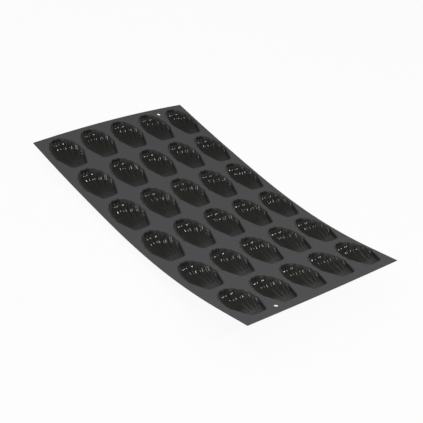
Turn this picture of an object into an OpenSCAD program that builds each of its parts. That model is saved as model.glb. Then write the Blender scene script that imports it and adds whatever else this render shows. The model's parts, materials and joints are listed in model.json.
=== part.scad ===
// A flexible baking sheet with thirty shell-shaped cavities in six rows of five.
// A food-side silicone coat lies on a coated glass cloth, and both are pressed into the cavities.
// The sheet bends between the rows, so each row is a stiff strip joined to the next by a flexing strip.
// X runs along the sheet, with the narrow ends of the shells towards +X. Y runs across it. Z is up.
// The origin is under the middle of the sheet, on the surface that the cavities rest on.

/* [Sheet] */
// Thickness of the whole sheet
sheet_t = 1.0; // [0.8:0.1:1.4]
// Thickness of the silicone coat on the food side
coat_t = 0.3; // [0.2:0.05:0.5]
// From the rims of the far row to the far short edge
far_margin = 9.5; // [6:0.5:40]
// From the rims of the near row to the near short edge
near_margin = 15.5; // [6:0.5:40]
// From the rims of the left column to the left long edge
left_margin = 12; // [6:0.5:40]
// From the rims of the right column to the right long edge
right_margin = 6.5; // [6:0.5:40]

/* [Pattern] */
// Gap between the rims of two neighbouring rows
row_gap = 12; // [10:1:40]
// Gap between the rims of two neighbouring columns at their widest
col_gap = 10; // [8:1:30]

/* [Cavity] */
// Length of a cavity at its rim
shell_l = 74; // [60:1:90]
// Width of a cavity at its widest
shell_w = 50; // [40:1:60]
// Width of the narrow end of a cavity
tip_w = 28; // [22:1:32]
// Rounding of the corners at the narrow end
tip_round = 3; // [1:0.5:5]
// Depth of a cavity below the food side of the sheet
shell_depth = 16; // [12:0.5:22]
// Height of the steep wall along the straight sides and the narrow end
drop_h = 3.5; // [2:0.5:5]
// Depth of the flutes, from their bottom to the ridges between them
flute_depth = 2; // [0.8:0.1:2.4]
// How far the scallops stand out at the wide end
scallop_depth = 1.8; // [0.4:0.1:2.4]
// Wall of a cavity
shell_wall = 1.0; // [0.7:0.1:1.3]
// Width of the flat lip round a cavity
lip_w = 1.5; // [1.4:0.1:2]

/* [Flexing] */
// Width of the flexing strip between two rows
flex_w = 4; // [3:0.5:6]
// Clearance between a flexing strip and the row on each side of it
flex_clear = 0.05; // [0.03:0.01:0.2]
// Bend at rest between rows 1 and 2, in degrees
bend_angle_1 = 2; // [0:0.5:8]
// Bend at rest between rows 2 and 3, in degrees
bend_angle_2 = 1; // [0:0.5:8]
// Bend at rest between rows 3 and 4, in degrees
bend_angle_3 = 4; // [0:0.5:8]
// Bend at rest between rows 4 and 5, in degrees
bend_angle_4 = 6; // [0:0.5:8]
// Bend at rest between rows 5 and 6, in degrees
bend_angle_5 = 6; // [0:0.5:8]

/* [Hanging holes] */
// Diameter of the two hanging holes
hole_d = 6; // [4:0.5:8]
// From a short edge to the centre of its hole
hole_inset = 15; // [10:0.5:18]
// Width of the ring of cloth that belongs to a hanging hole
eye_ring = 4; // [3:0.5:5]

/* [Hidden] */
rows = 6;
cols = 5;
flutes = 10;
steps_along = 5;
flex_steps = 6;
// How much longer a cut is than what it cuts
through = 1;

// Where the straight sides begin, as an angle from the middle of the wide end
side_angle = 110;
// How the flutes draw together towards the narrow end and bow towards the middle line
fan_power = 1.1;
fan_bow = 5;
bow_power = 4;
// The deepest place, as a share of the half length, and the forms of the cavity on both sides of it
deepest = -0.1;
ramp_power = 1.6;
end_power = 3.8;
end_round = 0.55;
side_power = 2.1;
side_round = 1.2;
// The steep wall grows between these places along the cavity
drop_from = 0;
drop_to = 16;
// Below this depth the flutes reach their full height
flute_fade = 3;
// How quickly the flutes reach their full height from the narrow end
flute_reach = 0.25;
// How far down its own height a flute's middle level lies
flute_level = 0.5;
// Sharpness of the rounded corners at the narrow end
corner_power = 6;
// How quickly the scallops fade away from the wide end
scallop_power = 3;

steps_across = 2 * flutes;
half_l = shell_l / 2;
half_w = shell_w / 2;
row_pitch = shell_l + row_gap;
col_pitch = shell_w + col_gap;
far_edge = half_l + far_margin;
near_edge = half_l + near_margin;
top_z = sheet_t / 2;
coat_z = top_z - coat_t;
left_y = -(cols - 1) / 2 * col_pitch - half_w - left_margin;
right_y = (cols - 1) / 2 * col_pitch + half_w + right_margin;
eye_w = hole_d + 2 * eye_ring;
eye_reach = hole_inset + eye_w / 2;
bends = [bend_angle_1, bend_angle_2, bend_angle_3, bend_angle_4, bend_angle_5];
middle = rows / 2;

// Sum of the bends from one hinge to another, counted from 1
function bend_sum(from, to) = from > to ? 0 : bends[from - 1] + bend_sum(from + 1, to);

// Slope of a row at rest: the two middle rows lean alike, so the sheet stands on both
function tilt(r) = bend_sum(1, r - 1) - bend_sum(1, middle - 1) - bends[middle - 1] / 2;
function along(r) = [cos(tilt(r)), sin(tilt(r))];
function normal(r) = [-sin(tilt(r)), cos(tilt(r))];

// The hinge lines between the rows, as X and Z, counted from the middle one
function hinge_at(k) = k == middle ? [0, 0]
    : k > middle ? hinge_at(k - 1) + row_pitch * along(k)
    : hinge_at(k + 1) - row_pitch * along(k + 1);
function row_at(r) = r <= middle
    ? hinge_at(r) - row_pitch / 2 * along(r)
    : hinge_at(r - 1) + row_pitch / 2 * along(r);

// The ends of a row's stiff strip, from its centre line
function row_from(r) = r == 1 ? -far_edge : -row_pitch / 2 + flex_w / 2;
function row_to(r) = r == rows ? near_edge : row_pitch / 2 - flex_w / 2;

// A shell-shaped outline is spanned by lines that fan out from the narrow end to the wide end.
// across runs from -1 to 1 over the width, and up from 0 at the narrow end to 1 at the wide end.
// grow widens the whole outline by that much.
function tip_x(across, grow) = half_l + grow - tip_round * pow(abs(across), corner_power);
function tip_point(across, grow) =
    [tip_x(across, grow), sign(across) * pow(abs(across), fan_power) * (tip_w / 2 + grow)];
function outward_at(across) = [-cos(side_angle * across), sin(side_angle * across)];
function wide_point(across, grow) =
    let (way = outward_at(across))
    [(half_l + grow) * way.x, (half_w + grow) * way.y];
function bow_at(across) = [0, -fan_bow * across * (1 - pow(abs(across), bow_power))];
function line_point(up, across, grow) =
    (1 - up) * tip_point(across, grow) + up * wide_point(across, grow)
    + 2 * up * (1 - up) * bow_at(across);
function flute_at(across) = abs(sin(180 * flutes * (across + 1) / 2));
function shell_point(up, across, grow) =
    line_point(up, across, grow)
    + pow(up, scallop_power) * scallop_depth * (flute_at(across) - flute_level) * outward_at(across);

// Half the width of the outline at a place along it: a curve, then straight sides
function half_width_at(x, grow) =
    let (corner = wide_point(1, grow), tip = tip_point(1, grow))
    x > corner.x ? corner.y + (tip.y - corner.y) * (x - corner.x) / (tip.x - corner.x)
    : (half_w + grow) * sqrt(max(0, 1 - pow(x / (half_l + grow), 2)));

// Shares of the depth: steep at the wide end, a ramp to the narrow end, rounded across
function depth_along(x, across, grow) =
    let (low = deepest * half_l, ahead = min(1, max(0, (x - low) / (tip_x(across, grow) - low))))
    x > low ? 1 - pow(ahead, ramp_power)
    : pow(max(0, 1 - pow(min(1, (low - x) / (half_l + grow + low)), end_power)), end_round);
function depth_across(share) =
    pow(max(0, 1 - pow(min(1, abs(share)), side_power)), side_round);
function drop_at(x) =
    let (ahead = min(1, max(0, (x - drop_from) / (drop_to - drop_from))))
    drop_h * pow(ahead, 2) * (3 - 2 * ahead);
function bowl_depth(up, across, grow, depth) =
    let (p = line_point(up, across, grow), w = half_width_at(p.x, grow), drop = drop_at(p.x))
    drop + (depth - drop) * depth_along(p.x, across, grow) * (w > 0 ? depth_across(p.y / w) : 0);
function fluted_depth(up, across, grow, depth) =
    let (d = bowl_depth(up, across, grow, depth))
    d + flute_depth * pow(up, flute_reach) * (flute_at(across) - flute_level) * min(1, d / flute_fade);

function up_of(i) = (1 - cos(180 * i / steps_along)) / 2;
function across_of(j) = 2 * j / steps_across - 1;
function on_rim(i, j) = i == 0 || i == steps_along || j == 0 || j == steps_across;

// The way round the rim of the grid, as pairs of indices
rim = concat(
    [for (j = [0:steps_across - 1]) [0, j]],
    [for (i = [0:steps_along - 1]) [i, steps_across]],
    [for (j = [steps_across:-1:1]) [steps_along, j]],
    [for (i = [steps_along:-1:1]) [i, 0]]);
function rim_outline(grow) = [for (q = rim) shell_point(up_of(q[0]), across_of(q[1]), grow)];

// Points of a cavity, with its rim's centre at the middle of the sheet's thickness
inner_points = [for (i = [0:steps_along], j = [0:steps_across])
    let (p = shell_point(up_of(i), across_of(j), 0))
    [p.x, p.y, on_rim(i, j) ? top_z
        : top_z - fluted_depth(up_of(i), across_of(j), 0, shell_depth)]];
outer_points = [for (i = [0:steps_along], j = [0:steps_across])
    let (p = shell_point(up_of(i), across_of(j), on_rim(i, j) ? lip_w : shell_wall))
    [p.x, p.y, on_rim(i, j) ? -top_z
        : top_z - shell_wall - fluted_depth(up_of(i), across_of(j), shell_wall, shell_depth)]];
lip_points = [for (p = rim_outline(lip_w)) [p.x, p.y, top_z]];

grid_count = (steps_along + 1) * (steps_across + 1);
function inner_index(i, j) = i * (steps_across + 1) + j;
function outer_index(i, j) = grid_count + inner_index(i, j);
function turned(list) = [list[0], list[2], list[1]];
function lip_index(n) = 2 * grid_count + n % len(rim);
function rim_index(n) = let (q = rim[n % len(rim)]) inner_index(q[0], q[1]);

// A square of the grid is halved so that no corner of the rim is cut off, alike on both sides
function halved(i, j, half) = 2 * j < steps_across
    ? (half == 0 ? [[i, j], [i, j + 1], [i + 1, j]] : [[i, j + 1], [i + 1, j + 1], [i + 1, j]])
    : (half == 0 ? [[i, j], [i, j + 1], [i + 1, j + 1]] : [[i, j], [i + 1, j + 1], [i + 1, j]]);

shell_faces = concat(
    [for (i = [0:steps_along - 1], j = [0:steps_across - 1], half = [0, 1])
        [for (q = halved(i, j, half)) inner_index(q[0], q[1])]],
    [for (i = [0:steps_along - 1], j = [0:steps_across - 1], half = [0, 1])
        turned([for (q = halved(i, j, half)) outer_index(q[0], q[1])])],
    [for (n = [0:len(rim) - 1], half = [0, 1]) half == 0
        ? [rim_index(n), lip_index(n), lip_index(n + 1)]
        : [rim_index(n), lip_index(n + 1), rim_index(n + 1)]],
    [for (n = [0:len(rim) - 1], half = [0, 1]) half == 0
        ? [lip_index(n), grid_count + rim_index(n), grid_count + rim_index(n + 1)]
        : [lip_index(n), grid_count + rim_index(n + 1), lip_index(n + 1)]]);

// Where the whole sheet lies: its lowest cavity on the ground and its outline centred
function lifted(r, p) = row_at(r) + p[0] * along(r) + p[1] * normal(r);
lowest_z = min([for (r = [1:rows], p = outer_points) lifted(r, [p.x, p.z]).y]);
far_x = min([for (z = [-top_z, top_z]) lifted(1, [-far_edge, z]).x]);
near_x = max([for (z = [-top_z, top_z]) lifted(rows, [near_edge, z]).x]);
shift = [-(far_x + near_x) / 2, -(left_y + right_y) / 2, -lowest_z];

// Places a row's own shapes: X along its strip, Z out of its food side
module in_row(r)
    translate(shift)
        translate([row_at(r).x, 0, row_at(r).y])
            rotate([0, -tilt(r), 0])
                children();

module strip(r, low, high)
    in_row(r)
        difference() {
            translate([row_from(r), left_y, low])
                cube([row_to(r) - row_from(r), right_y - left_y, high - low]);
            for (c = [1:cols])
                translate([0, column_y(c), low - through])
                    linear_extrude(high - low + 2 * through)
                        polygon(rim_outline(lip_w));
            if (has_hole(r))
                hanging_hole(r, low, high);
        }

// Each hole lies midway between the outer two columns, on opposite sides at the two ends
hole_column = (cols - 2) / 2 * col_pitch;
function has_hole(r) = r == 1 || r == rows;
function outward(r) = r == 1 ? -1 : 1;
function short_edge(r) = r == 1 ? -far_edge : near_edge;
function hole_y(r) = -outward(r) * hole_column;
module hanging_hole(r, low, high)
    translate([short_edge(r) - outward(r) * hole_inset, hole_y(r), low - through])
        cylinder(d = hole_d, h = high - low + 2 * through, $fn = 48);

// The block of sheet round a hanging hole, from its short edge inwards, longer by over as a cut
module eye_block(r, low, high, over = 0) {
    inner_x = short_edge(r) - outward(r) * eye_reach;
    outer_x = short_edge(r) + outward(r) * over;
    translate([min(inner_x, outer_x), hole_y(r) - eye_w / 2, low - over])
        cube([abs(outer_x - inner_x), eye_w, high - low + 2 * over]);
}

function column_y(c) = (c - (cols + 1) / 2) * col_pitch;

// Side view of a flexing strip: a smooth bend that meets both rows squarely
flex_half = flex_w / 2 - flex_clear;
function flex_line(k, t) =
    let (
        from = hinge_at(k) - flex_half * along(k),
        to = hinge_at(k) + flex_half * along(k + 1)
    )
    pow(1 - t, 2) * from + 2 * t * (1 - t) * hinge_at(k) + t * t * to;
function flex_normal(k, t) =
    let (slope = (1 - t) * tilt(k) + t * tilt(k + 1))
    [-sin(slope), cos(slope)];
function flex_side(k, z) = [for (n = [0:flex_steps])
    flex_line(k, n / flex_steps) + z * flex_normal(k, n / flex_steps)];
function reversed(list) = [for (n = [len(list) - 1:-1:0]) list[n]];

module flex_strip(k, low, high)
    translate([shift.x, shift.y + right_y, shift.z])
        rotate([90, 0, 0])
            linear_extrude(right_y - left_y)
                polygon(concat(flex_side(k, low), reversed(flex_side(k, high))));

module food_coat(r) {
    color([0.27, 0.27, 0.28]) strip(r, coat_z, top_z);
}

module glass_cloth(r) {
    color([0.2, 0.2, 0.2])
        difference() {
            strip(r, -top_z, coat_z);
            if (has_hole(r))
                in_row(r) eye_block(r, -top_z, coat_z, through);
        }
}

module eye_cloth(r) {
    color([0.2, 0.2, 0.2])
        in_row(r)
            difference() {
                eye_block(r, -top_z, coat_z);
                hanging_hole(r, -top_z, coat_z);
            }
}

module cavity(r, c) {
    color([0.14, 0.13, 0.12])
        in_row(r)
            translate([0, column_y(c), 0])
                polyhedron(concat(inner_points, outer_points, lip_points), shell_faces);
}

module flex_coat(k) {
    color([0.27, 0.27, 0.28]) flex_strip(k, coat_z, top_z);
}

module flex_cloth(k) {
    color([0.2, 0.2, 0.2]) flex_strip(k, -top_z, coat_z);
}

for (r = [1:rows])
    food_coat(r);
for (r = [1:rows])
    glass_cloth(r);
for (r = [1:rows], c = [1:cols])
    cavity(r, c);
for (k = [1:rows - 1])
    flex_coat(k);
for (k = [1:rows - 1])
    flex_cloth(k);
eye_cloth(1);  // eye_cloth_far
eye_cloth(rows);  // eye_cloth_near
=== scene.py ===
"""The looks of a flexible madeleine mould: one thin sheet of silicone-coated glass cloth with
thirty fluted cavities, lying bent as in the photograph. Everything is in metres, in the part's frame."""

import json
import math

import bpy
import numpy as np
from mathutils import Matrix, Vector


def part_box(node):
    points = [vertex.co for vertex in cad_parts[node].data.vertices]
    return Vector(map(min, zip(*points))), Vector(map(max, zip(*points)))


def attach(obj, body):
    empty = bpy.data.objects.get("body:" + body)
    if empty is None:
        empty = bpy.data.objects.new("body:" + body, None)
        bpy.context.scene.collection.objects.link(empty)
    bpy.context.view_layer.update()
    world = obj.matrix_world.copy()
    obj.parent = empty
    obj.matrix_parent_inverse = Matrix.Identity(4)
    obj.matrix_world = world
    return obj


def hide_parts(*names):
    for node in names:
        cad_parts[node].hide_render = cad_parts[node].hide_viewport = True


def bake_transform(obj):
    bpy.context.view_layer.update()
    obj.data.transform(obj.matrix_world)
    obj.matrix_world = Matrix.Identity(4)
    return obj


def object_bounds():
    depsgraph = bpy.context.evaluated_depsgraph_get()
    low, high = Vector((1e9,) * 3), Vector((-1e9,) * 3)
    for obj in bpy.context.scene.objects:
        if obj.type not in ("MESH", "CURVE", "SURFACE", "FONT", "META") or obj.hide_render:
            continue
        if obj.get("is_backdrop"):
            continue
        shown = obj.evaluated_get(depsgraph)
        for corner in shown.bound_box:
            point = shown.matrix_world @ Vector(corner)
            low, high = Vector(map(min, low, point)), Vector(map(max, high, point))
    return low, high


bl_info = {
    "name": "Madeleine mould",
    "version": (1, 0, 0),
    "blender": (4, 5, 0),
    "location": "3D View > Sidebar > Mould",
    "description": "Models the coats, the cloth and the fluted cavities of a flexible baking mould",
    "category": "Add Mesh",
}

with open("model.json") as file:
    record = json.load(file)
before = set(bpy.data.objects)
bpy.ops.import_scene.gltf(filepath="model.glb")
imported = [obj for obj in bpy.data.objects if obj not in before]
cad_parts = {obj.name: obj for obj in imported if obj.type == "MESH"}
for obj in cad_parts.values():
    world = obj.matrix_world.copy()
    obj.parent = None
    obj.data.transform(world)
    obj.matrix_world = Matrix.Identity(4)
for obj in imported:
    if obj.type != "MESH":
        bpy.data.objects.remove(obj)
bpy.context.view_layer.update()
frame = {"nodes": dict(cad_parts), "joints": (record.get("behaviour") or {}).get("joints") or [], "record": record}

ROWS = 6
COLUMNS = 5
FLUTES = 10
MM = 0.001


# The sheet's line in side view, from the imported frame

def flat_vector(point):
    """X and Z of a point of the frame."""
    return np.array([point[0], point[2]], float)


def hinge_points():
    """The five lines between the rows, from the far end to the near end."""
    joints = sorted(frame["joints"], key=lambda joint: joint["name"])
    return [flat_vector(joint["pos_m"]) for joint in joints]


def mount_axis(name):
    """The direction of a hanging hole, which is the normal of its row."""
    mount = next(m for m in frame["record"]["mounts"] if m["name"] == name)
    axis = flat_vector(mount["axis"])
    return axis / np.linalg.norm(axis)


def mount_place(name):
    """The middle of a hanging hole."""
    mount = next(m for m in frame["record"]["mounts"] if m["name"] == name)
    return np.array(mount["pos_m"], float)


def unit(vector):
    return vector / np.linalg.norm(vector)


HINGES = hinge_points()
PITCH = float(np.linalg.norm(HINGES[1] - HINGES[0]))
NORMALS = [mount_axis("far_hanging_hole")]
for hinge_a, hinge_b in zip(HINGES, HINGES[1:]):
    run = unit(hinge_b - hinge_a)
    NORMALS.append(np.array([-run[1], run[0]]))
NORMALS.append(mount_axis("near_hanging_hole"))
ALONGS = [np.array([n[1], -n[0]]) for n in NORMALS]
CENTRES = [HINGES[r] - ALONGS[r] * PITCH / 2 if r < ROWS // 2 else HINGES[r - 1] + ALONGS[r] * PITCH / 2
           for r in range(ROWS)]
ROW_PLACES = [(r - (ROWS - 1) / 2) * PITCH for r in range(ROWS)]


def column_place(column):
    """The line that a column of cavities is centred on."""
    low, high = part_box(f"cavity_1_{column}")
    return (low.y + high.y) / 2


COLUMN_PLACES = [column_place(c) for c in range(1, COLUMNS + 1)]
SIDES = (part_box("glass_cloth_3")[0].y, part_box("glass_cloth_3")[1].y)


def row_reach(node, row):
    """How far a node runs along its row, counted along the flat sheet."""
    points = np.array([v.co for v in frame["nodes"][node].data.vertices], float)
    offsets = points[:, [0, 2]] - CENTRES[row]
    along = offsets @ ALONGS[row]
    across = offsets @ NORMALS[row]
    place = ROW_PLACES[row]
    return place + along.min(), place + along.max(), across.min(), across.max()


EYE_NODES = {0: ("eye_cloth_far",), ROWS - 1: ("eye_cloth_near",)}
ENDS = (row_reach("glass_cloth_1", 0)[0], row_reach(f"glass_cloth_{ROWS}", ROWS - 1)[1])
COAT_LOW, COAT_HIGH = row_reach("food_coat_3", 2)[2:]
CLOTH_LOW, CLOTH_HIGH = row_reach("glass_cloth_3", 2)[2:]


# Sizes and finishes that a user would change

class MouldSizes(bpy.types.PropertyGroup):
    shell_length: bpy.props.FloatProperty(
        name="Cavity length", description="Length of a cavity at its rim", default=0.074, unit="LENGTH")
    shell_width: bpy.props.FloatProperty(
        name="Cavity width", description="Widest place of a cavity at its rim", default=0.05, unit="LENGTH")
    tip_width: bpy.props.FloatProperty(
        name="Narrow end", description="Width of a cavity's narrow end", default=0.028, unit="LENGTH")
    tip_round: bpy.props.FloatProperty(
        name="Corner rounding", description="Rounding of the narrow end's corners", default=0.003,
        unit="LENGTH")
    shell_depth: bpy.props.FloatProperty(
        name="Cavity depth", description="Depth of a cavity below the food side", default=0.016,
        unit="LENGTH")
    drop: bpy.props.FloatProperty(
        name="Steep wall", description="Height of the steep wall beside the straight sides",
        default=0.0035, unit="LENGTH")
    flute_depth: bpy.props.FloatProperty(
        name="Flute depth", description="Height of the ridges between the flutes", default=0.002,
        unit="LENGTH")
    scallop: bpy.props.FloatProperty(
        name="Scallops", description="How far the scallops stand out", default=0.0018, unit="LENGTH")
    lip: bpy.props.FloatProperty(
        name="Lip", description="Flat lip of a cavity beside its rim", default=0.0015, unit="LENGTH")
    rim_round: bpy.props.FloatProperty(
        name="Rim rounding", description="Radius where the sheet turns down into a cavity",
        default=0.0011, unit="LENGTH")


class MouldLie(bpy.types.PropertyGroup):
    """How the flexible sheet lies, over and above the bends between its rows."""
    arch: bpy.props.FloatVectorProperty(
        name="Arch across", size=4, default=(-0.00588, 0.00441, 0.00327, -0.00056), unit="LENGTH",
        description="Rise of the sides over the middle: level, and its change along the sheet")
    twist: bpy.props.FloatVectorProperty(
        name="Twist", description="Lean of the ends to one side", size=2, default=(-0.0029, -0.00109),
        unit="LENGTH")
    curl: bpy.props.FloatVectorProperty(
        name="Curl", description="Rise of the ends", size=2, default=(-0.00177, 0.00072), unit="LENGTH")
    lift: bpy.props.FloatProperty(
        name="Lift", description="Rise of the whole sheet, so that its lowest cavity stands on the floor",
        default=0.0018, unit="LENGTH")


class MouldFinish(bpy.types.PropertyGroup):
    coat_colour: bpy.props.FloatVectorProperty(
        name="Food side", description="Colour of the food-side silicone", subtype="COLOR", size=3,
        default=(0.0302, 0.0318, 0.0302))
    cloth_colour: bpy.props.FloatVectorProperty(
        name="Underside", description="Colour of the coated cloth", subtype="COLOR", size=3,
        default=(0.028, 0.0285, 0.028))
    # Painted shade: the cavity walls get a darker colour than the food side, though they are the same silicone.
    cavity_shade_colour: bpy.props.FloatVectorProperty(
        name="Cavities", description="Colour of the glossy cavity walls", subtype="COLOR", size=3,
        default=(0.026, 0.0255, 0.022))


class MouldStudio(bpy.types.PropertyGroup):
    camera_azimuth: bpy.props.FloatProperty(
        name="Camera azimuth", description="Turn of the camera round the mould",
        default=math.radians(42.26), subtype="ANGLE")
    camera_elevation: bpy.props.FloatProperty(
        name="Camera elevation", description="Height of the camera above the floor as an angle",
        default=math.radians(35.28), subtype="ANGLE")
    camera_roll: bpy.props.FloatProperty(
        name="Camera roll", description="Lean of the camera to the left", default=math.radians(13.22),
        subtype="ANGLE")
    camera_distance: bpy.props.FloatProperty(
        name="Camera distance", description="From the camera to its target", default=1.4265, unit="LENGTH")
    camera_target: bpy.props.FloatVectorProperty(
        name="Camera target", description="The point in the middle of the picture", size=3,
        default=(0.0037, 0.0116, 0.01273), subtype="XYZ")
    lens: bpy.props.FloatProperty(
        name="Lens", description="Focal length on a 36 mm sensor, in millimetres", default=76.45)


def sizes():
    return bpy.context.scene.mould_sizes


# Laying the flat sheet into its bent shape

REACH_ALONG = 0.265
REACH_ACROSS = 0.155


def lie_height(along, y):
    """Height of the sheet over its plain bent line: an arch across, a twist and a curl, each as a
    polynomial of the place along the sheet, from -1 at the far end to 1 at the near end."""
    lie = bpy.context.scene.mould_lie
    u = along / REACH_ALONG
    v = (y - COLUMN_PLACES[COLUMNS // 2]) / REACH_ACROSS
    arch = sum(value * u ** n for n, value in enumerate(lie.arch))
    twist = lie.twist[0] * u + lie.twist[1] * u ** 2
    return arch * (v ** 2 - 1 / 3) + twist * v + lie.curl[0] * u ** 2 + lie.curl[1] * u ** 3 + lie.lift


def lay(points):
    """Flat places (along, y, height above the middle of the sheet) to places in the bent sheet.
    Between two row centres the line is the arc that leaves one row and meets the next."""
    along, y = points[:, 0], points[:, 1]
    height = points[:, 2] + lie_height(along, y)
    gap = np.clip(np.floor((along - ROW_PLACES[0]) / PITCH).astype(int), -1, ROWS - 1)
    made = np.zeros((len(points), 3))
    made[:, 1] = y
    for k in range(-1, ROWS):
        inside = gap == k
        if not inside.any():
            continue
        row = max(k, 0)
        run = along[inside] - ROW_PLACES[row]
        up = height[inside][:, None]
        if k < 0 or k == ROWS - 1:
            place = CENTRES[row] + run[:, None] * ALONGS[row] + up * NORMALS[row]
        else:
            angle = math.atan2(np.dot(ALONGS[k + 1], NORMALS[k]), np.dot(ALONGS[k + 1], ALONGS[k]))
            radius = PITCH / 2 / math.tan(angle / 2)
            turn = (run / PITCH * angle)[:, None]
            ahead = np.sin(turn) * ALONGS[k] + (1 - np.cos(turn)) * NORMALS[k]
            normal = np.cos(turn) * NORMALS[k] - np.sin(turn) * ALONGS[k]
            place = CENTRES[k] + radius * ahead + up * normal
        made[inside, 0] = place[:, 0]
        made[inside, 2] = place[:, 1]
    return made


def lay_object(piece):
    """Bends a flat piece into the sheet's shape and keeps its flat places as its UV map."""
    mesh = piece.data
    flat = np.zeros(len(mesh.vertices) * 3)
    mesh.vertices.foreach_get("co", flat)
    flat = flat.reshape(-1, 3)
    loops = np.zeros(len(mesh.loops), int)
    mesh.loops.foreach_get("vertex_index", loops)
    layer = mesh.uv_layers.get("flat") or mesh.uv_layers.new(name="flat")
    layer.data.foreach_set("uv", flat[loops][:, :2].astype(np.float32).ravel())
    mesh.vertices.foreach_set("co", lay(flat).astype(np.float32).ravel())
    mesh.update()


# The shell-shaped outline and its depth

# The fan of lines from the narrow end to the wide end, and how far round the wide end reaches
SIDE_ANGLE = math.radians(110)
FAN_POWER = 1.1
FAN_BOW = 0.005
BOW_POWER = 4
CORNER_POWER = 6

# The scallops of the rim and the flutes of the wall
SCALLOP_POWER = 3
FLUTE_LEVEL = 0.5
FLUTE_FADE = 0.003
FLUTE_REACH = 0.25
RIDGE_SOFT = 0.14

# The depth: where it is deepest, the ramp, the wide end, the sides and the steep wall
DEEPEST = -0.1
RAMP_POWER = 1.6
END_POWER = 3.8
END_ROUND = 0.55
SIDE_POWER = 2.1
SIDE_ROUND = 1.2
DROP_FROM = 0.0
DROP_TO = 0.016
DROP_RUN = 0.0011

# The mesh, with its points closer near the rim
STEPS_ALONG = 36
STEPS_ACROSS = 120
RIM_STEPS = 5
EVEN_SHARE = 0.25


def tip_x(across, grow):
    return sizes().shell_length / 2 + grow - sizes().tip_round * np.abs(across) ** CORNER_POWER


def tip_point(across, grow):
    half_width = sizes().tip_width / 2 + grow
    return tip_x(across, grow), np.sign(across) * np.abs(across) ** FAN_POWER * half_width


def outward_at(across):
    return -np.cos(SIDE_ANGLE * across), np.sin(SIDE_ANGLE * across)


def wide_point(across, grow):
    x, y = outward_at(across)
    return (sizes().shell_length / 2 + grow) * x, (sizes().shell_width / 2 + grow) * y


def flute_at(across):
    """1 along the bottom of a flute and 0 on the ridge beside it, with a soft ridge."""
    wave = np.sin(math.pi * FLUTES * (across + 1) / 2)
    return np.sqrt(wave ** 2 + RIDGE_SOFT ** 2) / math.sqrt(1 + RIDGE_SOFT ** 2)


def line_point(up, across, grow):
    """A point on the bowed line from the narrow end to the wide end at one share of the width."""
    tip, wide = tip_point(across, grow), wide_point(across, grow)
    bow = -2 * up * (1 - up) * FAN_BOW * across * (1 - np.abs(across) ** BOW_POWER)
    return (1 - up) * tip[0] + up * wide[0], (1 - up) * tip[1] + up * wide[1] + bow


def shell_point(up, across, grow):
    """The same point with the scallops of the wide end."""
    x, y = line_point(up, across, grow)
    out = outward_at(across)
    push = up ** SCALLOP_POWER * sizes().scallop * (flute_at(across) - FLUTE_LEVEL)
    return x + push * out[0], y + push * out[1]


def half_width_at(x, grow):
    """Half the width of the outline at a place along it: a curve, then straight sides."""
    half_l = sizes().shell_length / 2 + grow
    half_w = sizes().shell_width / 2 + grow
    corner, tip = wide_point(1.0, grow), tip_point(1.0, grow)
    straight = corner[1] + (tip[1] - corner[1]) * (x - corner[0]) / (tip[0] - corner[0])
    curved = half_w * np.sqrt(np.clip(1 - (x / half_l) ** 2, 0, None))
    return np.maximum(np.where(x > corner[0], straight, curved), 1e-9)


def depth_along(x, across, grow):
    """Share of the depth: steep at the wide end, a ramp to the narrow end."""
    half_l = sizes().shell_length / 2 + grow
    low = DEEPEST * sizes().shell_length / 2
    ahead = np.clip((x - low) / (tip_x(across, grow) - low), 0, 1)
    behind = np.clip((low - x) / (half_l + low), 0, 1)
    return np.where(x > low, 1 - ahead ** RAMP_POWER,
                    np.clip(1 - behind ** END_POWER, 0, None) ** END_ROUND)


def depth_across(share):
    return np.clip(1 - np.clip(np.abs(share), 0, 1) ** SIDE_POWER, 0, None) ** SIDE_ROUND


def rim_distance(up, across, grow):
    """Rough distance of a point from the rim."""
    x, y = line_point(up, across, grow)
    tip, wide = tip_point(across, grow), wide_point(across, grow)
    length = np.hypot(wide[0] - tip[0], wide[1] - tip[1])
    return np.minimum(np.minimum(up, 1 - up) * length, half_width_at(x, grow) - np.abs(y))


def shell_depth(up, across, grow, depth):
    """Depth of the fluted form under a point of the outline."""
    x, y = line_point(up, across, grow)
    ahead = np.clip((x - DROP_FROM) / (DROP_TO - DROP_FROM), 0, 1)
    steep = sizes().drop * ahead ** 2 * (3 - 2 * ahead)
    drop = steep * np.tanh(np.clip(rim_distance(up, across, grow), 0, None) / DROP_RUN)
    bowl = depth_along(x, across, grow) * depth_across(y / half_width_at(x, grow))
    plain = drop + (depth - steep) * bowl
    flutes = sizes().flute_depth * up ** FLUTE_REACH * (flute_at(across) - FLUTE_LEVEL)
    return plain + flutes * np.clip(plain / FLUTE_FADE, 0, 1)


def shell_shares():
    """Sample places from the narrow to the wide end and over the width, closer near the rim."""
    up = (1 - np.cos(np.linspace(0, math.pi, STEPS_ALONG + 1))) / 2
    even = np.linspace(-1, 1, STEPS_ACROSS + 1)
    across = EVEN_SHARE * even + (1 - EVEN_SHARE) * np.sin(math.pi / 2 * even)
    return np.meshgrid(up, across, indexing="ij")


def rim_indices():
    """The way round the rim of the sample grid."""
    last_i, last_j = STEPS_ALONG, STEPS_ACROSS
    return ([(0, j) for j in range(last_j)] + [(i, last_j) for i in range(last_i)]
            + [(last_i, j) for j in range(last_j, 0, -1)] + [(i, 0) for i in range(last_i, 0, -1)])


def rim_loop(grow, height):
    """The outline grown by that much, as a closed loop of points at one height."""
    up, across = shell_shares()
    x, y = shell_point(up, across, grow)
    return np.array([(x[q], y[q], height) for q in rim_indices()])


def shell_grid(grow, depth, height):
    """A fluted bowl hanging from the outline, as a grid of points."""
    up, across = shell_shares()
    x, y = shell_point(up, across, grow)
    z = height - shell_depth(up, across, grow, depth)
    for i, j in rim_indices():
        z[i, j] = height
    return np.stack([x, y, z], axis=-1)


# Painted shade: the share that makes a cavity glossier also darkens its colour down the wall and away from the
# narrow end.
GLOSS_AND_SHADE_DEPTH = 0.005
GLOSS_AND_SHADE_END = 0.034
GLOSS_AND_SHADE_RUN = 0.03


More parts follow.
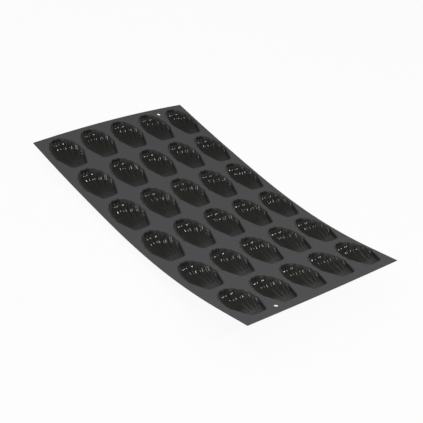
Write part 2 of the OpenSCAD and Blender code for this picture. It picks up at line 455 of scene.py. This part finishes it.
def gloss_and_shade_at(points):
    """How glossy a cavity is, and how much painted shade darkens its colour: matt and unshaded at the rim and the
    narrow end, glossy and darker further down the wall.
    """
    return (np.clip((COAT_HIGH - points[:, 2]) / GLOSS_AND_SHADE_DEPTH, 0, 1)
            * np.clip((GLOSS_AND_SHADE_END - points[:, 0]) / GLOSS_AND_SHADE_RUN, 0, 1))


def shell_mesh():
    """One cavity: its lip, the rounded rim, the fluted inside and the fluted underside, with the
    share of gloss and of painted shade at each point."""
    size = sizes()
    wall = CLOTH_HIGH - CLOTH_LOW + COAT_HIGH - COAT_LOW
    loops = [rim_loop(size.lip, CLOTH_LOW), rim_loop(size.lip, COAT_HIGH)]
    for angle in np.linspace(0, math.pi / 2, RIM_STEPS + 1)[:-1]:
        loops.append(rim_loop(size.rim_round * (1 - math.sin(angle)),
                              COAT_HIGH - size.rim_round * (1 - math.cos(angle))))
    inner = shell_grid(0, size.shell_depth - size.rim_round, COAT_HIGH - size.rim_round)
    outer = shell_grid(wall, size.shell_depth, CLOTH_LOW)
    count = len(loops[0])
    points = np.concatenate([*loops, inner.reshape(-1, 3), outer.reshape(-1, 3)])
    inner_start = count * len(loops)
    outer_start = inner_start + inner.shape[0] * inner.shape[1]
    gloss_and_shade = gloss_and_shade_at(points)
    gloss_and_shade[:count] = 0
    gloss_and_shade[outer_start:] = 0
    width = STEPS_ACROSS + 1
    rim = [i * width + j for i, j in rim_indices()]
    rings = [[outer_start + n for n in rim]]
    rings += [[count * k + n for n in range(count)] for k in range(len(loops))]
    rings.append([inner_start + n for n in rim])
    faces = []
    for ring_a, ring_b in zip(rings, rings[1:]):
        for n in range(count):
            m = (n + 1) % count
            faces.append((ring_a[n], ring_a[m], ring_b[m], ring_b[n]))
    for i in range(STEPS_ALONG):
        for j in range(STEPS_ACROSS):
            a = i * width + j
            corners = (a, a + 1, a + width + 1, a + width)
            faces.append(tuple(inner_start + q for q in corners))
            faces.append(tuple(outer_start + q for q in reversed(corners)))
    return points, faces, gloss_and_shade


# Small helpers for modelling

def deselect():
    if bpy.context.object and bpy.context.object.mode != "OBJECT":
        bpy.ops.object.mode_set(mode="OBJECT")
    bpy.ops.object.select_all(action="DESELECT")


def make_active(piece):
    deselect()
    bpy.context.view_layer.objects.active = piece
    piece.select_set(True)


def apply_modifiers(piece):
    make_active(piece)
    for modifier in list(piece.modifiers):
        bpy.ops.object.modifier_apply(modifier=modifier.name)


def settle(piece):
    """Puts a piece's place into its mesh."""
    make_active(piece)
    bpy.ops.object.transform_apply(location=True, rotation=True, scale=True)


STRIP_CREASE = math.radians(40)
SHELL_CREASE = math.radians(60)


def smooth(piece, angle=STRIP_CREASE):
    """Smooth shading, with a crease where faces meet at more than the angle."""
    make_active(piece)
    bpy.ops.object.shade_smooth_by_angle(angle=angle)


def new_object(name, points, faces):
    mesh = bpy.data.meshes.new(name)
    mesh.from_pydata([tuple(p) for p in points], [], faces)
    mesh.update()
    piece = bpy.data.objects.new(name, mesh)
    bpy.context.scene.collection.objects.link(piece)
    return piece


def point_outwards(piece):
    make_active(piece)
    bpy.ops.object.mode_set(mode="EDIT")
    bpy.ops.mesh.select_all(action="SELECT")
    bpy.ops.mesh.normals_make_consistent(inside=False)
    bpy.ops.object.mode_set(mode="OBJECT")


WIDTH_STEPS = 78
STRIP_STEPS = 21
FLEX_STEPS = 8
CUTTER_REACH = 0.004
HOLE_SIDES = 48


def flat_strip(name, start, stop, steps, low, high):
    """A flat strip of one layer over the sheet's whole width, as a closed solid."""
    deselect()
    bpy.ops.mesh.primitive_grid_add(
        x_subdivisions=steps, y_subdivisions=WIDTH_STEPS, size=1,
        location=((start + stop) / 2, sum(SIDES) / 2, high))
    piece = bpy.context.object
    piece.name = piece.data.name = name
    piece.scale = (stop - start, SIDES[1] - SIDES[0], 1)
    settle(piece)
    body = piece.modifiers.new("layer", "SOLIDIFY")
    body.thickness = high - low
    body.offset = -1
    apply_modifiers(piece)
    return piece


def shell_cutter(row):
    """The five outlines that the cavities of a row fill, as one object of upright prisms."""
    points, faces = [], []
    for y in COLUMN_PLACES:
        for height in (-CUTTER_REACH, CUTTER_REACH):
            loop = rim_loop(sizes().lip, height)
            points.append(loop + (ROW_PLACES[row], y, 0))
        count = len(points[-1])
        start = count * (len(points) - 2)
        below = list(range(start, start + count))
        above = list(range(start + count, start + 2 * count))
        faces += [below, above[::-1]]
        faces += [(below[n], above[n], above[(n + 1) % count], below[(n + 1) % count])
                  for n in range(count)]
    cutter = new_object("cutter", np.concatenate(points), faces)
    point_outwards(cutter)
    return cutter


def hole_cutter(row):
    """The hanging hole of an end row, as an upright cylinder, or nothing."""
    name = {0: "far_hanging_hole", ROWS - 1: "near_hanging_hole"}.get(row)
    if name is None:
        return None
    place = mount_place(name)
    mount = next(m for m in frame["record"]["mounts"] if m["name"] == name)
    along = ROW_PLACES[row] + (place[[0, 2]] - CENTRES[row]) @ ALONGS[row]
    deselect()
    bpy.ops.mesh.primitive_cylinder_add(
        vertices=HOLE_SIDES, radius=mount["dims"]["r_mm"] * MM, depth=2 * CUTTER_REACH,
        location=(along, place[1], 0))
    cutter = bpy.context.object
    settle(cutter)
    return cutter


def cut(piece, cutter):
    """Cuts one object out of another and removes the cutter."""
    if cutter is None:
        return
    hole = piece.modifiers.new("hole", "BOOLEAN")
    hole.operation = "DIFFERENCE"
    hole.solver = "EXACT"
    hole.object = cutter
    apply_modifiers(piece)
    bpy.data.objects.remove(cutter)


def row_strip(name, node, row, low, high):
    """One layer of a row, with openings for its cavities and its hanging hole."""
    start, stop = row_reach(node, row)[:2]
    piece = flat_strip(name, start, stop, STRIP_STEPS, low, high)
    cut(piece, shell_cutter(row))
    cut(piece, hole_cutter(row))
    lay_object(piece)
    smooth(piece)
    return piece


# Finishes

def node_at(tree, kind, x, y, **values):
    node = tree.nodes.new(kind)
    node.location = (x, y)
    for key, value in values.items():
        setattr(node, key, value)
    return node


def empty_material(name):
    material = bpy.data.materials.new(name)
    material.use_nodes = True
    material.node_tree.nodes.clear()
    return material, material.node_tree


def group_sockets(tree, inputs, outputs):
    for name, kind, default in inputs:
        socket = tree.interface.new_socket(name=name, in_out="INPUT", socket_type=kind)
        if default is not None:
            socket.default_value = default
    for name, kind in outputs:
        tree.interface.new_socket(name=name, in_out="OUTPUT", socket_type=kind)


def group_weave():
    """Height of a plain weave whose threads lie at a given pitch."""
    tree = bpy.data.node_groups.new("glass_weave", "ShaderNodeTree")
    group_sockets(tree, [("Flat", "NodeSocketVector", None), ("Thread pitch", "NodeSocketFloat", 0.0012)],
                  [("Height", "NodeSocketFloat")])
    start = node_at(tree, "NodeGroupInput", -1000, 0)
    end = node_at(tree, "NodeGroupOutput", 800, 0)
    split = node_at(tree, "ShaderNodeSeparateXYZ", -800, 0)
    tree.links.new(start.outputs["Flat"], split.inputs[0])
    waves = []
    for n, axis in enumerate("XY"):
        share = node_at(tree, "ShaderNodeMath", -600, -200 * n, operation="DIVIDE")
        tree.links.new(split.outputs[axis], share.inputs[0])
        tree.links.new(start.outputs["Thread pitch"], share.inputs[1])
        turn = node_at(tree, "ShaderNodeMath", -400, -200 * n, operation="MULTIPLY")
        turn.inputs[1].default_value = math.pi
        tree.links.new(share.outputs[0], turn.inputs[0])
        wave = node_at(tree, "ShaderNodeMath", -200, -200 * n, operation="SINE")
        tree.links.new(turn.outputs[0], wave.inputs[0])
        waves.append(wave)
    product = node_at(tree, "ShaderNodeMath", 0, 0, operation="MULTIPLY")
    for n, wave in enumerate(waves):
        tree.links.new(wave.outputs[0], product.inputs[n])
    level = node_at(tree, "ShaderNodeMath", 200, 0, operation="MULTIPLY_ADD")
    level.inputs[1].default_value = 0.5
    level.inputs[2].default_value = 0.5
    tree.links.new(product.outputs[0], level.inputs[0])
    tree.links.new(level.outputs[0], end.inputs["Height"])
    return tree


def group_mottle():
    """Soft cloudy change of a value, as on a hand-coated surface."""
    tree = bpy.data.node_groups.new("coating_mottle", "ShaderNodeTree")
    group_sockets(tree, [("Flat", "NodeSocketVector", None), ("Scale", "NodeSocketFloat", 60.0),
                         ("Low", "NodeSocketFloat", 0.0), ("High", "NodeSocketFloat", 1.0)],
                  [("Value", "NodeSocketFloat")])
    start = node_at(tree, "NodeGroupInput", -600, 0)
    end = node_at(tree, "NodeGroupOutput", 400, 0)
    noise = node_at(tree, "ShaderNodeTexNoise", -400, 0)
    noise.inputs["Detail"].default_value = 6
    tree.links.new(start.outputs["Flat"], noise.inputs["Vector"])
    tree.links.new(start.outputs["Scale"], noise.inputs["Scale"])
    spread = node_at(tree, "ShaderNodeMapRange", 0, 0)
    spread.inputs["From Min"].default_value = 0.3
    spread.inputs["From Max"].default_value = 0.7
    tree.links.new(noise.outputs["Fac"], spread.inputs["Value"])
    tree.links.new(start.outputs["Low"], spread.inputs["To Min"])
    tree.links.new(start.outputs["High"], spread.inputs["To Max"])
    tree.links.new(spread.outputs["Result"], end.inputs["Value"])
    return tree


def shared_group(name, make):
    return bpy.data.node_groups.get(name) or make()


COLOUR_MOTTLE = 35
GLOSS_MOTTLE = 140


def silicone(name, colour, roughness, spread, weave_height, specular, colour_spread, inside=None):
    """A coated surface: mottled colour and gloss, and the weave of the cloth showing through.
    inside is the darker colour, painted shade, and the roughness that it turns to with the attribute of gloss and
    painted shade."""
    if name in bpy.data.materials:
        return bpy.data.materials[name]
    material, tree = empty_material(name)
    output = node_at(tree, "ShaderNodeOutputMaterial", 700, 0)
    surface = node_at(tree, "ShaderNodeBsdfPrincipled", 400, 0)
    surface.inputs["Specular IOR Level"].default_value = specular
    tree.links.new(surface.outputs[0], output.inputs[0])
    flat = node_at(tree, "ShaderNodeUVMap", -900, 0, uv_map="flat")

    mottle = shared_group("coating_mottle", group_mottle)
    shade = node_at(tree, "ShaderNodeGroup", -500, 200, node_tree=mottle)
    shade.inputs["Scale"].default_value = COLOUR_MOTTLE
    shade.inputs["Low"].default_value = 1 - colour_spread
    shade.inputs["High"].default_value = 1 + colour_spread
    tree.links.new(flat.outputs[0], shade.inputs["Flat"])
    tint = node_at(tree, "ShaderNodeVectorMath", -200, 200, operation="SCALE")
    tint.inputs[0].default_value = colour
    tree.links.new(shade.outputs[0], tint.inputs["Scale"])
    tree.links.new(tint.outputs[0], surface.inputs["Base Color"])

    gloss = node_at(tree, "ShaderNodeGroup", -500, -50, node_tree=mottle)
    gloss.inputs["Scale"].default_value = GLOSS_MOTTLE
    gloss.inputs["Low"].default_value = 1 - spread
    gloss.inputs["High"].default_value = 1 + spread
    tree.links.new(flat.outputs[0], gloss.inputs["Flat"])
    rough = node_at(tree, "ShaderNodeMath", -200, -50, operation="MULTIPLY")
    rough.inputs[1].default_value = roughness
    tree.links.new(gloss.outputs[0], rough.inputs[0])
    tree.links.new(rough.outputs[0], surface.inputs["Roughness"])

    if inside:
        # Painted shade: the attribute blends the colour towards the darker inside colour, and it also lowers the
        # roughness.
        gloss_and_shade = node_at(tree, "ShaderNodeAttribute", -900, 400, attribute_name="gloss_and_shade")
        shade_by_depth = node_at(tree, "ShaderNodeVectorMath", -500, 400, operation="MULTIPLY_ADD")
        shade_by_depth.inputs[1].default_value = Vector(inside[0]) - Vector(colour)
        shade_by_depth.inputs[2].default_value = colour
        tree.links.new(gloss_and_shade.outputs["Fac"], shade_by_depth.inputs[0])
        tree.links.new(shade_by_depth.outputs[0], tint.inputs[0])
        glossier = node_at(tree, "ShaderNodeMapRange", -500, -600)
        glossier.inputs["To Min"].default_value = roughness
        glossier.inputs["To Max"].default_value = inside[1]
        tree.links.new(gloss_and_shade.outputs["Fac"], glossier.inputs["Value"])
        tree.links.new(glossier.outputs["Result"], rough.inputs[1])

    weave = node_at(tree, "ShaderNodeGroup", -500, -300,
                    node_tree=shared_group("glass_weave", group_weave))
    tree.links.new(flat.outputs[0], weave.inputs["Flat"])
    bump = node_at(tree, "ShaderNodeBump", -100, -300)
    bump.inputs["Distance"].default_value = weave_height
    bump.inputs["Strength"].default_value = 1
    tree.links.new(weave.outputs[0], bump.inputs["Height"])
    tree.links.new(bump.outputs[0], surface.inputs["Normal"])
    return material


COAT_ROUGHNESS = 0.5
CLOTH_ROUGHNESS = 0.55
CAVITY_ROUGHNESS = 0.08


def coat_material():
    colour = bpy.context.scene.mould_finish.coat_colour
    return silicone("food_side_silicone", colour, COAT_ROUGHNESS, spread=0.1, weave_height=0.00001,
                    specular=0.5, colour_spread=0.05)


def cloth_material():
    colour = bpy.context.scene.mould_finish.cloth_colour
    return silicone("coated_glass_cloth", colour, CLOTH_ROUGHNESS, spread=0.1, weave_height=0.00006,
                    specular=0.4, colour_spread=0.08)


def cavity_material():
    """The food side's finish at the lip, which turns glossy down the wall and darker there with painted shade."""
    finish = bpy.context.scene.mould_finish
    return silicone("cavity_silicone", finish.coat_colour, COAT_ROUGHNESS, spread=0.15,
                    weave_height=0.000002, specular=0.5, colour_spread=0.06,
                    inside=(finish.cavity_shade_colour, CAVITY_ROUGHNESS))


def finish_piece(piece, material):
    piece.data.materials.clear()
    piece.data.materials.append(material)


# One operator for each kind of piece

class MOULD_OT_food_coats(bpy.types.Operator):
    """Lay the food-side silicone of the six rows"""
    bl_idname = "mould.food_coats"
    bl_label = "Food-side coats"

    def execute(self, context):
        for row in range(ROWS):
            node = f"food_coat_{row + 1}"
            piece = row_strip(f"row_{row + 1}_food_coat", node, row, COAT_LOW, COAT_HIGH)
            finish_piece(piece, coat_material())
            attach(piece, f"row_{row + 1}")
            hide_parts(node)
        return {"FINISHED"}


class MOULD_OT_glass_cloths(bpy.types.Operator):
    """Lay the coated glass cloth of the six rows, with the cloth round the hanging holes"""
    bl_idname = "mould.glass_cloths"
    bl_label = "Glass cloths"

    def execute(self, context):
        for row in range(ROWS):
            node = f"glass_cloth_{row + 1}"
            piece = row_strip(f"row_{row + 1}_glass_cloth", node, row, CLOTH_LOW, CLOTH_HIGH)
            finish_piece(piece, cloth_material())
            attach(piece, f"row_{row + 1}")
            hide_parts(node, *EYE_NODES.get(row, ()))
        return {"FINISHED"}


class MOULD_OT_cavities(bpy.types.Operator):
    """Press the thirty fluted cavities"""
    bl_idname = "mould.cavities"
    bl_label = "Cavities"

    def execute(self, context):
        points, faces, gloss_and_shade = shell_mesh()
        for row in range(ROWS):
            for column in range(COLUMNS):
                name = f"{row + 1}_{column + 1}"
                place = (ROW_PLACES[row], COLUMN_PLACES[column], 0)
                piece = new_object(f"shell_{name}", points + place, faces)
                layer = piece.data.attributes.new("gloss_and_shade", "FLOAT", "POINT")
                layer.data.foreach_set("value", gloss_and_shade.astype(np.float32))
                point_outwards(piece)
                lay_object(piece)
                smooth(piece, SHELL_CREASE)
                finish_piece(piece, cavity_material())
                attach(piece, f"row_{row + 1}")
                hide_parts(f"cavity_{name}")
        return {"FINISHED"}


class MOULD_OT_flex_strips(bpy.types.Operator):
    """Lay the flexing strips between the rows"""
    bl_idname = "mould.flex_strips"
    bl_label = "Flexing strips"

    def execute(self, context):
        layers = (("coat", COAT_LOW, COAT_HIGH, coat_material, "food_side_silicone"),
                  ("cloth", CLOTH_LOW, CLOTH_HIGH, cloth_material, "coated_glass_cloth"))
        for k in range(ROWS - 1):
            start = row_reach(f"glass_cloth_{k + 1}", k)[1]
            stop = row_reach(f"glass_cloth_{k + 2}", k + 1)[0]
            ends = lay(np.array([[start, 0, 0], [stop, 0, 0]]))
            for layer, low, high, material, slot in layers:
                piece = flat_strip(f"flex_{k + 1}_{layer}", start, stop, FLEX_STEPS, low, high)
                lay_object(piece)
                smooth(piece)
                finish_piece(piece, material())
                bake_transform(piece)
                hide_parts(f"flex_{layer}_{k + 1}")
        return {"FINISHED"}


# The stage

FLOOR_SIZE = 8.0
FLOOR_TONE = (0.8, 0.8, 0.8, 1)
FLOOR_GLOW = 0.94


def shown_white(tree, x, y):
    """1 for rays from the camera and for those that a glossy or clear surface sends on."""
    seen = node_at(tree, "ShaderNodeLightPath", x, y)
    mirrored = node_at(tree, "ShaderNodeMath", x + 200, y, operation="MAXIMUM")
    tree.links.new(seen.outputs["Is Glossy Ray"], mirrored.inputs[0])
    tree.links.new(seen.outputs["Is Transmission Ray"], mirrored.inputs[1])
    return seen.outputs["Is Camera Ray"], mirrored.outputs[0]


def floor_material():
    """A white floor that keeps a soft shadow."""
    material, tree = empty_material("white_floor")
    output = node_at(tree, "ShaderNodeOutputMaterial", 600, 0)
    mix = node_at(tree, "ShaderNodeMixShader", 400, 0)
    matte = node_at(tree, "ShaderNodeBsdfDiffuse", 0, 0)
    matte.inputs["Color"].default_value = FLOOR_TONE
    glow = node_at(tree, "ShaderNodeEmission", 0, -200)
    glow.inputs["Strength"].default_value = 1.0
    camera_ray, mirrored = shown_white(tree, -500, 300)
    white = node_at(tree, "ShaderNodeMath", 0, 300, operation="MAXIMUM")
    tree.links.new(camera_ray, white.inputs[0])
    tree.links.new(mirrored, white.inputs[1])
    share = node_at(tree, "ShaderNodeMath", 200, 300, operation="MULTIPLY")
    share.inputs[1].default_value = FLOOR_GLOW
    tree.links.new(white.outputs[0], share.inputs[0])
    tree.links.new(share.outputs[0], mix.inputs[0])
    tree.links.new(matte.outputs[0], mix.inputs[1])
    tree.links.new(glow.outputs[0], mix.inputs[2])
    tree.links.new(mix.outputs[0], output.inputs[0])
    return material


SOFT_WALL = (-0.62, 0.5, 0.6)
WALL_EDGE = -0.3
WORLD_LIGHT = 0.65
WORLD_SHADE = 0.03
HORIZON = 0.1
OVERHEAD = 0.5
HORIZON_LIGHT = 0.8
CEILING_LIGHT = 0.1


def set_world():
    """A soft surround: plain white to the camera, bright at the horizon and dim overhead to what
    mirrors it, and as light brightest from the back left."""
    world = bpy.data.worlds.new("studio")
    bpy.context.scene.world = world
    world.use_nodes = True
    tree = world.node_tree
    tree.nodes.clear()
    output = node_at(tree, "ShaderNodeOutputWorld", 900, 0)
    back = node_at(tree, "ShaderNodeBackground", 700, 0)
    back.inputs["Color"].default_value = (1, 1, 1, 1)
    camera_ray, mirrored = shown_white(tree, -600, 300)
    place = node_at(tree, "ShaderNodeTexCoord", -600, -100)
    height = node_at(tree, "ShaderNodeSeparateXYZ", -400, -100)
    tree.links.new(place.outputs["Generated"], height.inputs[0])
    ceiling = node_at(tree, "ShaderNodeMapRange", -200, -100, interpolation_type="SMOOTHSTEP")
    ceiling.inputs["From Min"].default_value = HORIZON
    ceiling.inputs["From Max"].default_value = OVERHEAD
    ceiling.inputs["To Min"].default_value = HORIZON_LIGHT
    ceiling.inputs["To Max"].default_value = CEILING_LIGHT
    tree.links.new(height.outputs["Z"], ceiling.inputs["Value"])
    facing = node_at(tree, "ShaderNodeVectorMath", -400, -400, operation="DOT_PRODUCT")
    facing.inputs[1].default_value = SOFT_WALL
    tree.links.new(place.outputs["Generated"], facing.inputs[0])
    wall = node_at(tree, "ShaderNodeMapRange", -200, -400, interpolation_type="SMOOTHSTEP")
    wall.inputs["From Min"].default_value = WALL_EDGE
    wall.inputs["To Min"].default_value = WORLD_SHADE
    wall.inputs["To Max"].default_value = WORLD_LIGHT
    tree.links.new(facing.outputs["Value"], wall.inputs["Value"])
    light = node_at(tree, "ShaderNodeMapRange", 100, 0)
    tree.links.new(wall.outputs["Result"], light.inputs["To Min"])
    tree.links.new(mirrored, light.inputs["Value"])
    tree.links.new(ceiling.outputs["Result"], light.inputs["To Max"])
    level = node_at(tree, "ShaderNodeMapRange", 400, 0)
    level.inputs["To Max"].default_value = 1.0
    tree.links.new(camera_ray, level.inputs["Value"])
    tree.links.new(light.outputs["Result"], level.inputs["To Min"])
    tree.links.new(level.outputs["Result"], back.inputs["Strength"])
    tree.links.new(back.outputs[0], output.inputs[0])


LAMPS = (("key_strip", (1.1, 0.0, 1.27), 0.8, 0.1, 9),
         ("top_softbox", (-0.3, -0.75, 1.4), 0.35, 0.1, 5))


def add_lamp(name, place, width, height, power):
    """A rectangular lamp that points at the middle of the mould."""
    lamp = bpy.data.lights.new(name, "AREA")
    lamp.shape = "RECTANGLE"
    lamp.size = width
    lamp.size_y = height
    lamp.energy = power
    thing = bpy.data.objects.new(name, lamp)
    bpy.context.scene.collection.objects.link(thing)
    thing.location = place
    thing.rotation_euler = (-Vector(place)).to_track_quat("-Z", "Y").to_euler()


SENSOR_WIDTH = 36


def add_camera():
    """The photograph's camera, which leans a little because the mould lies level here."""
    studio = bpy.context.scene.mould_studio
    azimuth, elevation = studio.camera_azimuth, studio.camera_elevation
    back = Vector((math.sin(azimuth) * math.cos(elevation),
                   -math.cos(azimuth) * math.cos(elevation), math.sin(elevation)))
    camera = bpy.data.objects.new("camera", bpy.data.cameras.new("camera"))
    bpy.context.scene.collection.objects.link(camera)
    camera.location = Vector(studio.camera_target) + back * studio.camera_distance
    aim = (-back).to_track_quat("-Z", "Y").to_matrix().to_4x4()
    camera.rotation_euler = (aim @ Matrix.Rotation(studio.camera_roll, 4, "Z")).to_euler()
    camera.data.lens = studio.lens
    camera.data.sensor_width = SENSOR_WIDTH
    camera.data.clip_end = 100
    bpy.context.scene.camera = camera


class MOULD_OT_stage(bpy.types.Operator):
    """Set the floor, the lamps, the surround and the camera"""
    bl_idname = "mould.stage"
    bl_label = "Stage"

    def execute(self, context):
        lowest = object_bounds()[0].z
        deselect()
        bpy.ops.mesh.primitive_plane_add(size=FLOOR_SIZE, location=(0, 0, lowest))
        floor = bpy.context.object
        floor.name = "floor"
        floor.data.materials.append(floor_material())
        floor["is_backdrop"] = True
        for lamp in LAMPS:
            add_lamp(*lamp)
        set_world()
        add_camera()
        context.scene.view_settings.view_transform = "Standard"
        return {"FINISHED"}


class MOULD_PT_panel(bpy.types.Panel):
    bl_idname = "MOULD_PT_panel"
    bl_label = "Mould"
    bl_space_type = "VIEW_3D"
    bl_region_type = "UI"
    bl_category = "Mould"

    def draw(self, context):
        for operator in OPERATORS:
            self.layout.operator(operator.bl_idname)
        for group in (context.scene.mould_sizes, context.scene.mould_lie, context.scene.mould_finish,
                      context.scene.mould_studio):
            for name in group.bl_rna.properties.keys():
                if name not in ("rna_type", "name"):
                    self.layout.prop(group, name)


OPERATORS = (MOULD_OT_food_coats, MOULD_OT_glass_cloths, MOULD_OT_cavities, MOULD_OT_flex_strips,
             MOULD_OT_stage)
GROUPS = (("mould_sizes", MouldSizes), ("mould_lie", MouldLie), ("mould_finish", MouldFinish),
          ("mould_studio", MouldStudio))


def register():
    for name, group in GROUPS:
        bpy.utils.register_class(group)
        setattr(bpy.types.Scene, name, bpy.props.PointerProperty(type=group))
    for operator in OPERATORS:
        bpy.utils.register_class(operator)
    bpy.utils.register_class(MOULD_PT_panel)


def unregister():
    bpy.utils.unregister_class(MOULD_PT_panel)
    for operator in reversed(OPERATORS):
        bpy.utils.unregister_class(operator)
    for name, group in reversed(GROUPS):
        delattr(bpy.types.Scene, name)
        bpy.utils.unregister_class(group)


def main():
    register()
    bpy.ops.mould.food_coats()
    bpy.ops.mould.glass_cloths()
    bpy.ops.mould.cavities()
    bpy.ops.mould.flex_strips()
    bpy.ops.mould.stage()


if __name__ == "__main__":
    main()
